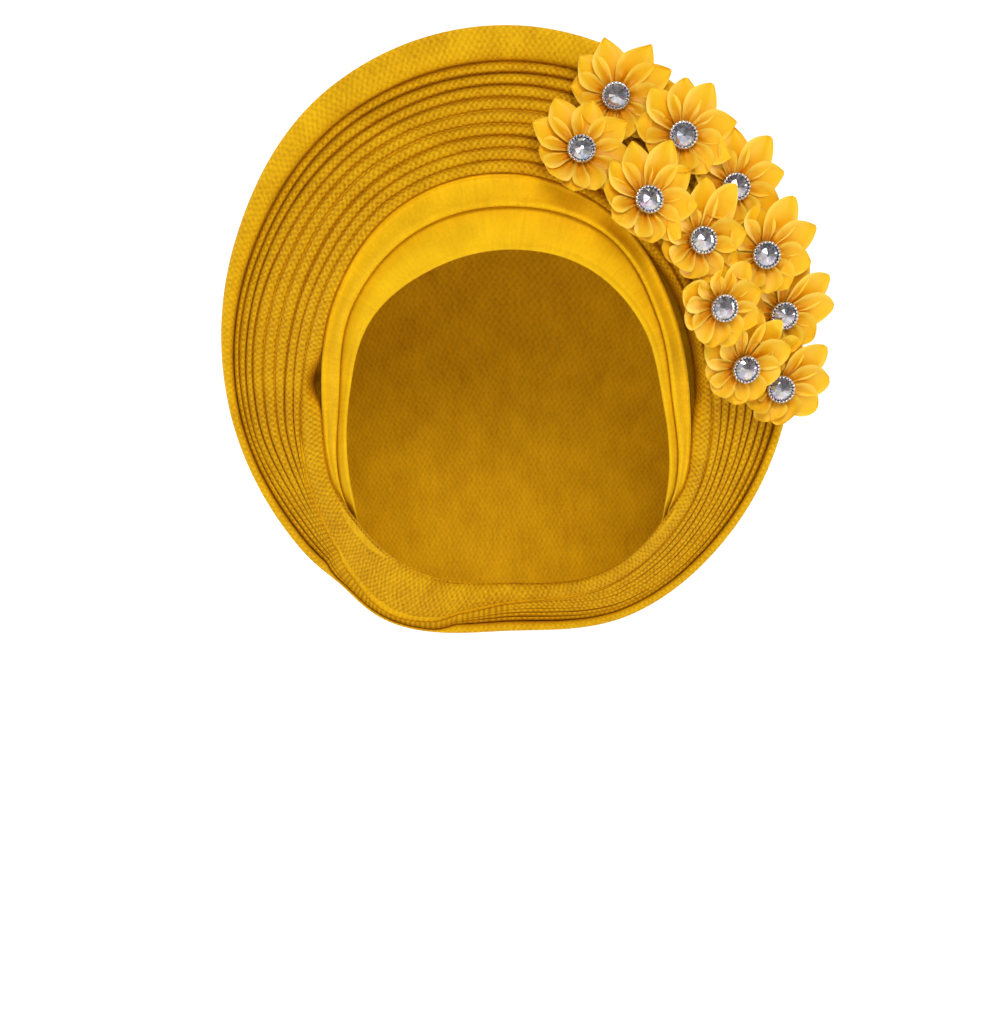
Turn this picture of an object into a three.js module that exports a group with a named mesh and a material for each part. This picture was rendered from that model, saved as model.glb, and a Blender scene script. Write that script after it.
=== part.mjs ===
// A tied gele head tie: a pleated fan of stiff cloth round a face opening, two smooth brow bands,
// a hollow back crown and a spray of ribbon flowers with rhinestone centres.
// Millimetres, +Z up, the face opening looks along -Y, and +X is on the right as seen from the front.
// The origin is the point inside the cloth where the crown of a head would touch it.
import * as THREE from "three";

// Driving dimensions of the cloth
const FACE_AXIS_Z = -97; // the clock angles turn about this height
const STATIONS = 40; // sections round the whole loop
const BAND_ENDS = 126; // clock angle at which the brow bands tuck away, on both sides
const WALL = 1.8; // thickness of the cloth
const GAP = 0.3; // clearance between pieces that touch on the real head tie
const TUCK = 3; // how far a band runs on under the piece in front of it, at most
const TUCK_SHARE = 0.5; // and at most this share of that piece's first fold
const PLEATS = 9;
const PLEAT_DEPTH = 3;
const PLEAT_DEPTH_SHARE = 0.65; // a crowded pleat is at most this deep for its width
const ROLL_FRONT = 4.5; // how far the broad outer fold bulges forwards
const HEM_BACK = 16; // how far the outer fold runs back over the crown
const HEM_DROP = 2; // the hem's fall towards the crown over that run
const CROWN_LAP = 7; // how far the crown reaches in under the outer fold
const CROWN_BACK_Y = 108; // rearmost point of the crown
const CROWN_BACK_Z = -72;
const CROWN_RINGS = 6;
const BAND_SWELL = 1.2; // crown of a band's cross-section
const BAND_STEP = 2; // each band lies this far behind the back of the piece over it, at its edge

// Driving dimensions of the flowers
const PETALS = 9;
const PETAL_REACH = 22;
const PETAL_WALL = 1.2;
const PETAL_LIP = 1; // how far the petal edges stand above the petal's middle
const STEM_RADIUS = 4.5;
const KEEP_CLEAR = 7.6; // petals stop this far from the centre of another flower
const PETAL_HALF_WIDTH = 5;
const CUP_RADIUS = 6.6;
const STONE_RADIUS = 5;
const CUP_SEAT = 1.4; // the cup's base above the middle of the petals
const LEVEL_STEP = 2.8; // flowers overlap on levels this far apart
const FIRST_LEVEL = 2;
const SHELF_RISE = 14; // over this width the flowers rise from the pleats to the outer fold

// One row for each section round the face, by clock angle: 0 is the top of the head, positive towards +X.
// Radii run from the face axis to the face edge, the edge between the bands, the fan's inner edge,
// the foot of the broad outer fold and the rim. Depths along Y belong to the first, third and last.
// tail is the innermost pleat's share of the fan, because it broadens into a smooth tail low on the left.
const SECTION_COLUMNS = ["clock", "face", "band", "fold", "brim", "rim", "faceY", "foldY", "rimY", "tail"];
const SECTIONS = [
  [-180, 96, 90, 66, 80, 85, 70, 66, 75, 0.3],
  [-150, 92, 84, 80, 96, 102, 34, 36, 48, 0.7],
  [-120, 73, 77, 79, 99, 104, -20, -8, 13, 0.7],
  [-90, 64, 68, 75, 108, 113, -46, -35, -12, 0.25],
  [-60, 63, 72, 80, 118, 126, -73, -61, -37, 0.14],
  [-30, 59, 75, 87, 129, 142, -88, -76, -53, 0.11],
  [0, 58, 75, 88, 133, 147, -92, -80, -58, 0.11],
  [30, 59, 74, 82, 128, 139, -88, -76, -53, 0.11],
  [60, 59, 66, 73, 117, 124, -73, -61, -37, 0.11],
  [90, 60, 64, 71, 106, 111, -46, -35, -12, 0.15],
  [120, 72, 75, 78, 98, 103, -20, -8, 13, 0.22],
  [150, 92, 84, 80, 94, 99, 34, 36, 48, 0.25],
].map((row) => Object.fromEntries(SECTION_COLUMNS.map((name, i) => [name, row[i]])));

// One row for each flower, from the top of the spray to its lower end: the centre as seen from the front,
// the level it overlaps its neighbours on, and the turn of its first petal.
const FLOWER_COLUMNS = ["x", "z", "level", "turn"];
const FLOWERS = [
  [40.5, 21.5, 0, 8],
  [26.5, -1, 2, 22],
  [66.5, 6.5, 1, 0],
  [52, -20, 3, 12],
  [87, -13, 0, 30],
  [73, -34.5, 2, 18],
  [99, -39, 1, 5],
  [81.5, -60, 3, 26],
  [106.5, -62, 0, 14],
  [91, -83, 2, 34],
  [106, -90.5, 1, 20],
].map((row) => Object.fromEntries(FLOWER_COLUMNS.map((name, i) => [name, row[i]])));

// Outline of one petal over its share of the flower: how far out it reaches and how high its surface stands.
const PETAL_OUTLINE = [
  { phase: 0, reach: 0.58, lip: 1 },
  { phase: 0.24, reach: 0.9, lip: 0.6 },
  { phase: 0.5, reach: 1, lip: 0 },
  { phase: 0.76, reach: 0.9, lip: 0.6 },
];
const PETAL_MIDDLE = 0.6; // share of the reach at which the petal bends

const rad = THREE.MathUtils.degToRad;
const lerp = THREE.MathUtils.lerp;

// Materials
const cloth = (color) => new THREE.MeshStandardMaterial({ color, roughness: 0.8, metalness: 0 });
const materials = {
  band: cloth(0xf2b90c),
  fold: cloth(0xe0a50a),
  fan: cloth(0xd9a00b),
  crown: cloth(0xd49a0a),
  petal: new THREE.MeshStandardMaterial({ color: 0xf7b81c, roughness: 0.4, metalness: 0 }),
  cup: new THREE.MeshStandardMaterial({ color: 0xb9b9c2, roughness: 0.2, metalness: 1 }),
  stone: new THREE.MeshStandardMaterial({ color: 0xe6e2ea, roughness: 0.05, metalness: 0 }),
};

// The section at any clock angle, on smooth curves through the rows of the table.
function sectionAt(clock) {
  const step = 360 / SECTIONS.length;
  const place = (((clock + 180) % 360) + 360) % 360 / step;
  const first = Math.floor(place);
  const t = place - first;
  const rows = [-1, 0, 1, 2].map((k) => SECTIONS[(first + k + SECTIONS.length) % SECTIONS.length]);
  const section = { clock };
  for (const name of SECTION_COLUMNS.slice(1)) {
    const [a, b, c, d] = rows.map((row) => row[name]);
    section[name] = b + 0.5 * t * (c - a + t * (2 * a - 5 * b + 4 * c - d + t * (3 * (b - c) + d - a)));
  }
  return section;
}

// Depth of the cloth's front at a radius: straight from the face edge to the fan, then straight to the rim.
function frontY(s, radius) {
  if (radius < s.fold) return lerp(s.faceY, s.foldY, (radius - s.face) / (s.fold - s.face));
  return lerp(s.foldY, s.rimY, (radius - s.fold) / (s.rim - s.fold));
}

// A point at a clock angle, a distance from the face axis and a depth.
function around(clock, radius, y, axisZ = FACE_AXIS_Z) {
  return new THREE.Vector3(radius * Math.sin(rad(clock)), y, axisZ + radius * Math.cos(rad(clock)));
}

// A closed mesh from vertices and triangles, turned so that its faces point out.
function solid(vertices, triangles) {
  const a = new THREE.Vector3();
  let volume = 0;
  for (const [i, j, k] of triangles) volume += a.crossVectors(vertices[i], vertices[j]).dot(vertices[k]);
  const index = triangles.flatMap(([i, j, k]) => (volume < 0 ? [i, k, j] : [i, j, k]));
  const geometry = new THREE.BufferGeometry().setFromPoints(vertices);
  geometry.setIndex(index);
  geometry.computeVertexNormals();
  return geometry;
}

// Triangles between two equal rings of vertices, given by the index of each ring's first vertex.
function ringStrip(firstA, firstB, count) {
  const strip = [];
  for (let i = 0; i < count; i++) {
    const next = (i + 1) % count;
    strip.push([firstA + i, firstA + next, firstB + i], [firstA + next, firstB + next, firstB + i]);
  }
  return strip;
}

// A wall swept through closed sections, either right round a loop or with a flat cap at each end.
function sweep(outlines, isLoop) {
  const count = outlines[0].points.length;
  const vertices = outlines.flatMap((outline) => outline.points.map(([r, y]) => around(outline.clock, r, y)));
  const triangles = [];
  const spans = isLoop ? outlines.length : outlines.length - 1;
  for (let i = 0; i < spans; i++) {
    triangles.push(...ringStrip(i * count, ((i + 1) % outlines.length) * count, count));
  }
  if (!isLoop) {
    const last = outlines.length - 1;
    const capOf = (k) => {
      const flat = outlines[k].points.map(([r, y]) => new THREE.Vector2(r, y));
      const turned = THREE.ShapeUtils.isClockWise(flat);
      return THREE.ShapeUtils.triangulateShape(turned ? flat.slice().reverse() : flat, [])
        .map((face) => face.map((v) => k * count + (turned ? count - 1 - v : v)))
        .map(([a, b, c]) => (turned ? [a, c, b] : [a, b, c]));
    };
    triangles.push(...capOf(0).map(([a, b, c]) => [a, c, b]), ...capOf(last));
  }
  return solid(vertices, triangles);
}

function clockAngles(limit) {
  const step = 360 / STATIONS;
  const first = -Math.floor(STATIONS / 2);
  const all = Array.from({ length: STATIONS }, (_, i) => Math.round((first + i) * step * 1e6) / 1e6);
  return all.filter((clock) => Math.abs(clock) <= limit);
}

// A smooth brow band between two radii, set back behind the front of the fan, with a swollen middle.
function bandOutline(clock, innerName, outerName, setBack) {
  const s = sectionAt(clock);
  const inner = s[innerName];
  const width = s[outerName] - inner;
  const swellAt = (share) => BAND_SWELL * Math.sin(Math.PI * share);
  const front = [0, 0.25, 0.6, 1].map((share) => {
    const r = inner + share * width;
    return [r, frontY(s, r) + setBack - swellAt(share)];
  });
  const nextFold = outerName === "band" ? s.fold - s.band : pleatEdges(s)[1] - s.fold;
  const tucked = inner + width + Math.min(TUCK, nextFold * TUCK_SHARE);
  front.push([tucked, frontY(s, tucked) + setBack]);
  const back = front.filter((_, i) => i !== 1).map(([r, y]) => [r, y + WALL]);
  return { clock, points: [...front, ...back.reverse()] };
}

// Edges of the pleats from the fan's inner edge to the foot of the outer fold.
function pleatEdges(s) {
  return Array.from({ length: PLEATS + 1 }, (_, k) => {
    const share = k === 0 ? 0 : lerp(s.tail, 1, (k - 1) / (PLEATS - 1));
    return lerp(s.fold, s.brim, share);
  });
}

// The broad outer fold is half an ellipse, from its foot behind the last pleat to the rim.
function outerRoll(s) {
  const edges = pleatEdges(s);
  const lastDepth = pleatDepth(edges[PLEATS] - edges[PLEATS - 1]);
  const half = (s.rim - s.brim) / 2;
  const wall = Math.min(WALL, half * 0.6);
  return { middle: s.brim + half, half, wall, footY: frontY(s, s.brim) + lastDepth };
}

function pleatDepth(width) {
  return Math.min(PLEAT_DEPTH, width * PLEAT_DEPTH_SHARE);
}

// The fan: rounded pleats, then the broad outer fold, which rolls over the rim and runs back over the crown.
function fanOutline(clock) {
  const s = sectionAt(clock);
  const edges = pleatEdges(s);
  const front = [];
  const back = [];
  for (let k = 0; k < PLEATS; k++) {
    const width = edges[k + 1] - edges[k];
    const depth = pleatDepth(width);
    const valley = k === 0 ? 0.3 * depth : depth;
    const at = (share, fall) => [edges[k] + share * width, frontY(s, edges[k] + share * width) + fall];
    front.push(at(0, valley), at(0.22, 0.3 * depth), at(0.5, 0), at(0.78, 0.3 * depth));
    back.push(at(0, valley + WALL), at(0.5, WALL));
  }
  const { middle, half, wall, footY } = outerRoll(s);
  const roll = (angle, inset) => [
    middle + (half - inset) * Math.cos(rad(angle)),
    footY - (ROLL_FRONT - inset) * Math.sin(rad(angle)),
  ];
  front.push(...[180, 140, 100, 60, 25, 0].map((angle) => roll(angle, 0)));
  front.push([s.rim - HEM_DROP, footY + HEM_BACK]);
  back.push([s.brim, footY + WALL], roll(120, wall), roll(60, wall), roll(10, wall));
  back.push([s.rim - HEM_DROP - wall, footY + HEM_BACK]);
  return { clock, points: [...front, ...back.reverse()] };
}

// The crown: a hollow cloth dome from under the outer fold to the back of the head.
function crownGeometry() {
  const clocks = clockAngles(180);
  const ringAt = (share, inset) =>
    clocks.map((clock) => {
      const s = sectionAt(clock);
      const { wall, footY } = outerRoll(s);
      const startY = footY + HEM_BACK - CROWN_LAP;
      const hemFall = HEM_DROP * (1 - CROWN_LAP / HEM_BACK);
      const startRadius = s.rim - hemFall - wall - 2 * GAP;
      const turn = share * Math.PI / 2;
      const axisZ = lerp(FACE_AXIS_Z, CROWN_BACK_Z, 1 - Math.cos(turn));
      const y = lerp(startY, CROWN_BACK_Y, Math.sin(turn)) - inset * Math.sin(turn);
      return around(clock, startRadius * Math.cos(turn) - inset * Math.cos(turn), y, axisZ);
    });
  const shares = Array.from({ length: CROWN_RINGS }, (_, i) => i / CROWN_RINGS);
  const rings = [
    ...shares.slice().reverse().map((share) => ringAt(share, WALL)),
    ...shares.map((share) => ringAt(share, 0)),
  ];
  const count = clocks.length;
  const vertices = rings.flat();
  const triangles = rings.slice(1).flatMap((_, i) => ringStrip(i * count, (i + 1) * count, count));
  const innerPole = vertices.push(new THREE.Vector3(0, CROWN_BACK_Y - WALL, CROWN_BACK_Z)) - 1;
  const outerPole = vertices.push(new THREE.Vector3(0, CROWN_BACK_Y, CROWN_BACK_Z)) - 1;
  const lastRing = (rings.length - 1) * count;
  for (let i = 0; i < count; i++) {
    const next = (i + 1) % count;
    triangles.push([innerPole, next, i], [outerPole, lastRing + i, lastRing + next]);
  }
  return solid(vertices, triangles);
}

// Depth of the surface that the flowers lie on, as seen from the front: the crests of the pleats, rising
// smoothly to the top of the outer fold and carried on past the rim.
function shelfY(x, z) {
  const { s, radius } = polar(x, z);
  const { middle, footY } = outerRoll(s);
  const rise = frontY(s, middle) - footY + ROLL_FRONT;
  return frontY(s, radius) - rise * THREE.MathUtils.smoothstep(radius, s.brim - SHELF_RISE, s.brim + 2);
}

// Depth of the fan's own front there: the crests of the pleats and the round of the outer fold.
function fanY(x, z) {
  const { s, radius } = polar(x, z);
  if (radius < s.brim) return frontY(s, radius);
  const { middle, half, footY } = outerRoll(s);
  const across = Math.min(1, Math.abs(radius - middle) / half);
  return footY - ROLL_FRONT * Math.sqrt(1 - across * across);
}

function polar(x, z) {
  const up = z - FACE_AXIS_Z;
  return { s: sectionAt(THREE.MathUtils.radToDeg(Math.atan2(x, up))), radius: Math.hypot(x, up) };
}

// A group that stands on the fan at a flower's centre, with its own +Z along the fan's outward normal.
function flowerFrame(flower) {
  const delta = 2;
  const slopeX = (shelfY(flower.x + delta, flower.z) - shelfY(flower.x - delta, flower.z)) / (2 * delta);
  const slopeZ = (shelfY(flower.x, flower.z + delta) - shelfY(flower.x, flower.z - delta)) / (2 * delta);
  const normal = new THREE.Vector3(slopeX, -1, slopeZ).normalize();
  const right = new THREE.Vector3(1, 0, 0).addScaledVector(normal, -normal.x).normalize();
  const up = new THREE.Vector3().crossVectors(normal, right);
  const lift = FIRST_LEVEL + flower.level * LEVEL_STEP;
  const frame = new THREE.Group();
  frame.position.set(flower.x, shelfY(flower.x, flower.z) - lift, flower.z);
  frame.quaternion.setFromRotationMatrix(new THREE.Matrix4().makeBasis(right, up, normal));
  frame.updateMatrixWorld(true);
  return { frame, lift };
}

// How far a petal may reach in a direction of its flower's plane before it comes to a neighbour's centre.
function petalReach(frame, flower, angle) {
  let reach = PETAL_REACH;
  for (const other of FLOWERS) {
    if (other === flower) continue;
    const centre = frame.worldToLocal(new THREE.Vector3(other.x, shelfY(other.x, other.z), other.z));
    const along = centre.x * Math.cos(angle) + centre.y * Math.sin(angle);
    const aside = Math.abs(centre.x * Math.sin(angle) - centre.y * Math.cos(angle));
    const meets = along > 0 && aside < KEEP_CLEAR + PETAL_HALF_WIDTH;
    if (meets) reach = Math.min(reach, Math.max(along - KEEP_CLEAR, 0));
  }
  return Math.max(reach, KEEP_CLEAR + 2);
}

// The petals of one flower as one body: a ring of pointed, cupped petals over a short stem on the fan.
function petalGeometry(frame, flower, lift) {
  const columns = [];
  for (let petal = 0; petal < PETALS; petal++) {
    const share = 2 * Math.PI / PETALS;
    const start = rad(flower.turn) + petal * share;
    const reach = petalReach(frame, flower, start + share / 2);
    const lip = PETAL_LIP * reach / PETAL_REACH;
    for (const point of PETAL_OUTLINE) {
      columns.push({ angle: start + point.phase * share, reach: reach * point.reach, lip: point.lip * lip });
    }
  }
  const inPlane = (radius, angle, z) =>
    new THREE.Vector3(radius * Math.cos(angle), radius * Math.sin(angle), z);
  // A point of the flower's plane, set at a height above a surface.
  const onCloth = (radius, angle, height, surface = shelfY) => {
    const flat = frame.localToWorld(inPlane(radius, angle, 0));
    flat.y = surface(flat.x, flat.z) - height;
    return frame.worldToLocal(flat);
  };
  const count = columns.length;
  const top = lift + PETAL_WALL;
  const vertices = [
    ...columns.map((c) => onCloth(c.reach * PETAL_MIDDLE, c.angle, top + c.lip)),
    ...columns.map((c) => onCloth(c.reach, c.angle, top + c.lip)),
    ...columns.map((c) => onCloth(c.reach, c.angle, lift + c.lip)),
  ];
  const triangles = [...ringStrip(0, count, count), ...ringStrip(count, 2 * count, count)];
  const centre = vertices.push(onCloth(0, 0, top)) - 1;
  for (let i = 0; i < count; i++) triangles.push([centre, (i + 1) % count, i]);
  // The stem has one side for each petal, and its top ring closes the underside of the petals.
  const perPetal = PETAL_OUTLINE.length;
  const stemTop = vertices.length;
  const stemAngles = Array.from({ length: PETALS }, (_, k) => columns[k * perPetal].angle);
  vertices.push(...stemAngles.map((angle) => onCloth(STEM_RADIUS, angle, lift)));
  const under = stemAngles.flatMap((angle) =>
    [0, 0.5, 1].map((share) => onCloth(share * STEM_RADIUS, angle, 0, fanY)));
  const footHeight = Math.max(...under.map((point) => point.z)) + GAP;
  vertices.push(...stemAngles.map((angle) => inPlane(STEM_RADIUS, angle, footHeight)));
  const foot = vertices.push(inPlane(0, 0, footHeight)) - 1;
  for (let k = 0; k < PETALS; k++) {
    const nextStem = stemTop + (k + 1) % PETALS;
    for (let j = 0; j < perPetal; j++) {
      const rim = 2 * count + k * perPetal + j;
      const nextRim = 2 * count + (k * perPetal + j + 1) % count;
      triangles.push([rim, nextRim, stemTop + k]);
    }
    triangles.push([2 * count + ((k + 1) * perPetal) % count, nextStem, stemTop + k]);
    triangles.push([foot, stemTop + PETALS + k, nextStem + PETALS]);
  }
  triangles.push(...ringStrip(stemTop, stemTop + PETALS, PETALS));
  return solid(vertices, triangles);
}

// A turned profile of radius and height pairs, stood up along +Z.
function turned(profile, sides) {
  const points = profile.map(([r, h]) => new THREE.Vector2(r, h));
  return new THREE.LatheGeometry(points, sides).rotateX(Math.PI / 2);
}

// The rhinestone's metal cup: a shallow dish with a rim that leans in over the stone.
function cupGeometry() {
  const seat = 1.2;
  const rimTop = 3;
  return turned(
    [[0, 0], [CUP_RADIUS - 0.4, 0], [CUP_RADIUS, 1.6], [CUP_RADIUS - 0.8, rimTop],
      [STONE_RADIUS + GAP, seat], [0, seat]],
    12,
  );
}

// The faceted stone: a girdle, a ring of crown facets and a table.
function stoneGeometry() {
  const base = 1.2 + GAP;
  const crown = [[STONE_RADIUS, 2.4], [STONE_RADIUS * 0.5, 4.4], [0, 4.4]];
  return turned([[0, base], [STONE_RADIUS - 0.9, base], ...crown], 10);
}

function named(name, geometry, material) {
  const mesh = new THREE.Mesh(geometry, material);
  mesh.name = name;
  return mesh;
}

// Assembly
const gele = new THREE.Group();
const bandClocks = clockAngles(BAND_ENDS);
const foldSetBack = WALL + BAND_STEP;
const bandSetBack = 2 * (WALL + BAND_STEP);
const bandSections = bandClocks.map((clock) => bandOutline(clock, "face", "band", bandSetBack));
const foldSections = bandClocks.map((clock) => bandOutline(clock, "band", "fold", foldSetBack));
gele.add(named("forehead_band", sweep(bandSections, false), materials.band));
gele.add(named("fold_band", sweep(foldSections, false), materials.fold));
gele.add(named("pleated_fan", sweep(clockAngles(180).map(fanOutline), true), materials.fan));
gele.add(named("back_crown", crownGeometry(), materials.crown));

FLOWERS.forEach((flower, i) => {
  const number = String(i + 1).padStart(2, "0");
  const { frame, lift } = flowerFrame(flower);
  const seat = new THREE.Group();
  seat.position.z = PETAL_WALL + CUP_SEAT;
  seat.add(named(`stone_cup_${number}`, cupGeometry(), materials.cup));
  seat.add(named(`rhinestone_${number}`, stoneGeometry(), materials.stone));
  frame.add(named(`flower_${number}`, petalGeometry(frame, flower, lift), materials.petal), seat);
  gele.add(frame);
});

export default gele;
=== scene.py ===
import math

import bpy
import numpy as np
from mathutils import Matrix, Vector


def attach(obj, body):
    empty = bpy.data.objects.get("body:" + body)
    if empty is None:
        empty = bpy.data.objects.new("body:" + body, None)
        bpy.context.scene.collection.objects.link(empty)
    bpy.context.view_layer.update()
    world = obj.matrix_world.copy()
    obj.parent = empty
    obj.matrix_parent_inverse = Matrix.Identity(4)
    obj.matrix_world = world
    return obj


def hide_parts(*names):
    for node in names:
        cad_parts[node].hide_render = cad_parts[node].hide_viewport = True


# A tied gele head tie: pleated fan, brow bands, back crown, ribbon flowers and rhinestones.
# Shapes are worked out in millimetres, in the frame of the solids: +Z up, the face looks along -Y.
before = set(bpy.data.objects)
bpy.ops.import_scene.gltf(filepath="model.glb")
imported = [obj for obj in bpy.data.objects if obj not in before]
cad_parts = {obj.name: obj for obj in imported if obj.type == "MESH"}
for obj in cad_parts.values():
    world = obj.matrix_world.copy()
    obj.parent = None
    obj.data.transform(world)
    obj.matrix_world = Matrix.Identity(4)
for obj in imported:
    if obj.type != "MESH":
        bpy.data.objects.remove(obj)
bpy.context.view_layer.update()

MM = 0.001
rng = np.random.default_rng(11)

# Sizes of the cloth in millimetres, and clock angles in degrees
FACE_AXIS_Z = -97.0
BAND_ENDS = 134.0
BAND_END_BACK = 7.0
BAND_END_RADIUS = 81.0
PLEATS = 9
PLEAT_DEPTH = 3.0
PLEAT_DEPTH_SHARE = 0.65
ROLL_FRONT = 4.5
HEM_BACK = 16.0
HEM_DROP = 2.0
RIM_DIP = 2.2
RIM_DIP_ANGLE = 137.0
RIM_DIP_SPREAD = 8.0
NARROWEST_BROW = 4.0
CROWN_LAP = 7.0
CROWN_BACK_Y = 108.0
CROWN_BACK_Z = -72.0
CLOTH = 1.2
CROWN_CLOTH = 1.5
EDGE_RETURN = 3.5
HOLLOW_SINK = 13.0
HOLLOW_BACK = 22.0
HOLLOW_WIDTH = 3.2
LEFT_PIT_ANGLE = -84.0
RIGHT_HOLLOW_ANGLE = 70.0
FOLD_SET_BACK = 3.8
BAND_SET_BACK = 7.6

# Sizes of the flowers and stones
# PETAL_LEAN lengthens the petals that point up and out, as the flowers lean.
PETALS = 10
PETAL_REACH = 21.5
PETAL_LEAN = 3.6
PETAL_HALF_WIDTH = 6.8
PETAL_CURL = 4.5
LEAN_ANGLE = math.radians(55)
PETAL_START = 3.2
RIBBON = 0.45
FIRST_LEVEL = 2.0
LEVEL_STEP = 2.8
SHELF_RISE = 14.0
STONE_SEAT = 2.6
STONE_TOP = 4.4
STONE_FACING = 0.8
CUP_RADIUS = 5.7
BEADS = 22
BEAD_RADIUS = 0.66
BEAD_RING = 5.0
BEAD_HEIGHT = 2.6

# Sections round the face by clock angle, every 30 degrees from -180: 0 is the top, +X is positive.
# Radii from the face axis, depths along Y, and the innermost pleat's share of the fan.
COLUMNS = ("face", "band", "fold", "brim", "rim", "face_y", "fold_y", "rim_y", "tail")
SECTIONS = np.array([
    (96, 90, 73, 89, 93, 70, 66, 75, 0.55),
    (92, 84, 80, 98.4, 102, 34, 36, 48, 0.92),
    (73, 77, 79, 100.4, 104, -20, -8, 13, 0.48),
    (64, 68, 75, 109, 113, -46, -35, -12, 0.25),
    (63, 72, 80, 118, 126, -73, -61, -37, 0.14),
    (59, 75, 87, 129, 142, -88, -76, -53, 0.11),
    (58, 75, 88, 133, 147, -92, -80, -58, 0.11),
    (59, 74, 82, 128, 139, -88, -76, -53, 0.11),
    (59, 66, 73, 117, 124, -73, -61, -37, 0.16),
    (60, 64, 71, 107, 111, -46, -35, -12, 0.25),
    (72, 75, 78, 99.4, 103, -20, -8, 13, 0.26),
    (92, 84, 80, 95.4, 99, 34, 36, 48, 0.3),
], float)

# Gaps from the fan's inner edge to the foot of its outer fold: depth, and share of a pleat's width
# taken up on each side.
GAPS = [
    (2.0, 0.04),
    (2.0, 0.05),
    (2.2, 0.06),
    (3.4, 0.09),
    (2.6, 0.07),
    (2.6, 0.07),
    (3.0, 0.08),
    (3.6, 0.10),
    (4.2, 0.11),
    (4.8, 0.12),
]

# Shifts of the pleats' edges at the left, where they are laid unevenly, as shares of the fan.
LEFT_SHIFTS = (0, -0.015, -0.006, 0.027, 0.079, 0.099, 0.085, 0.055, 0)

# How far each pleat lies back from the fan's front, from the inner edge outwards.
RECESSES = (0.0, 0.1, 0.6, 0.2, 0.1, 0.2, 0.4, 1.0, 1.5)

# Flowers from the top of the spray to its lower end: centre from the front, level, turn of the first petal.
FLOWERS = [
    (40.5, 21.5, 0, 8),
    (26.5, -1, 2, 22),
    (66.5, 6.5, 1, 0),
    (52, -20, 3, 12),
    (87, -13, 0, 30),
    (73, -34.5, 2, 26),
    (99, -39, 1, 5),
    (81.5, -60, 3, 26),
    (106.5, -62, 0, 14),
    (91, -83, 2, 22),
    (106, -90.5, 1, 20),
]

# Painted glint tints of a stone's facets: white, violet, pink, blue and warm, and how often each comes.
PAINTED_GLINT_TINTS = ((1, 1, 1), (0.88, 0.84, 0.98), (1, 0.72, 0.92), (0.78, 0.86, 1), (1, 0.9, 0.72))
TINT_SHARES = (0.36, 0.2, 0.12, 0.12, 0.2)

# Half width of a petal at shares of its length: with a drawn-out point, and with a blunt end.
PETAL_SHARES = (0, 0.15, 0.33, 0.48, 0.6, 0.72, 0.84, 0.93, 1)
POINTED_PETAL = (0.32, 0.58, 0.9, 1.0, 0.97, 0.78, 0.48, 0.22, 0.03)
BLUNT_PETAL = (0.32, 0.6, 0.92, 1.04, 1.06, 1.0, 0.86, 0.62, 0.2)
PETAL_ROWS = 21
PETAL_COLUMNS = 15

# Petals stop this far from the centre of another flower, or closer where they lie over its stone.
PETAL_CLEAR = 7.4
COVERS = {(4, 3): 5.5, (6, 5): 0.0, (10, 9): 1.5, (10, 11): 4.0}


# Cloth surfaces

def lerp(a, b, t):
    return a + (b - a) * t


def smoothstep(x, low, high):
    t = np.clip((x - low) / (high - low), 0, 1)
    return t * t * (3 - 2 * t)


def section(clock):
    """Every column of the section table at the clock angles, on smooth curves through the rows."""
    place = ((np.asarray(clock, float) + 180.0) % 360.0) / 30.0
    first = np.floor(place).astype(int)
    t = (place - first)[..., None]
    a, b, c, d = (SECTIONS[(first + k) % len(SECTIONS)] for k in (-1, 0, 1, 2))
    values = b + 0.5 * t * (c - a + t * (2 * a - 5 * b + 4 * c - d + t * (3 * (b - c) + d - a)))
    s = {name: values[..., i] for i, name in enumerate(COLUMNS)}
    # Low on the left the outer fold runs out, and the rim dips where the tail comes out from under it.
    left = (-np.asarray(clock, float)) % 360.0
    runs_out, comes_back = (112, 136), (160, 185)
    broadest_fold, narrowest_fold = 20, 1.2
    fades = smoothstep(left, *runs_out) * (1 - smoothstep(left, *comes_back))
    dip = RIM_DIP * np.exp(-((left - RIM_DIP_ANGLE) / RIM_DIP_SPREAD) ** 2)
    s["rim"] = s["rim"] - dip
    s["brim"] = np.maximum(s["brim"] - dip, s["rim"] - lerp(broadest_fold, narrowest_fold, fades))
    return s


def brow_section(clock):
    """The section under the two brow bands, whose ends run on behind the fan's inner edge."""
    s = section(clock)
    behind = BAND_END_BACK * smoothstep(np.abs(clock), 114, 130)
    s["face"] = np.minimum(s["face"], BAND_END_RADIUS)
    s["fold"] = np.maximum(s["fold"], s["face"] + NARROWEST_BROW)
    s["band"] = np.clip(s["band"], s["face"] + 1.8, s["fold"] - 1.4)
    s["face_y"] = s["face_y"] + behind
    s["fold_y"] = s["fold_y"] + behind
    return s


def front_y(s, r):
    """Depth of the cloth's front at a radius, straight from the face edge to the fan and on to the rim."""
    brow_width = np.maximum(s["fold"] - s["face"], NARROWEST_BROW)
    inner = lerp(s["fold_y"], s["face_y"], np.clip((s["fold"] - r) / brow_width, 0, 1))
    outer = lerp(s["fold_y"], s["rim_y"], (r - s["fold"]) / (s["rim"] - s["fold"]))
    return np.where(r < s["fold"], inner, outer)


def pleat_edge(s, k):
    share = 0 if k == 0 else lerp(s["tail"], 1, (k - 1) / (PLEATS - 1))
    return lerp(s["fold"], s["brim"], share)


def pleat_depth(width):
    return np.minimum(PLEAT_DEPTH, width * PLEAT_DEPTH_SHARE)


def roll_foot(s):
    """Depth of the foot of the broad outer fold."""
    last_width = s["brim"] - pleat_edge(s, PLEATS - 1)
    return front_y(s, s["brim"]) + pleat_depth(last_width)


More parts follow.
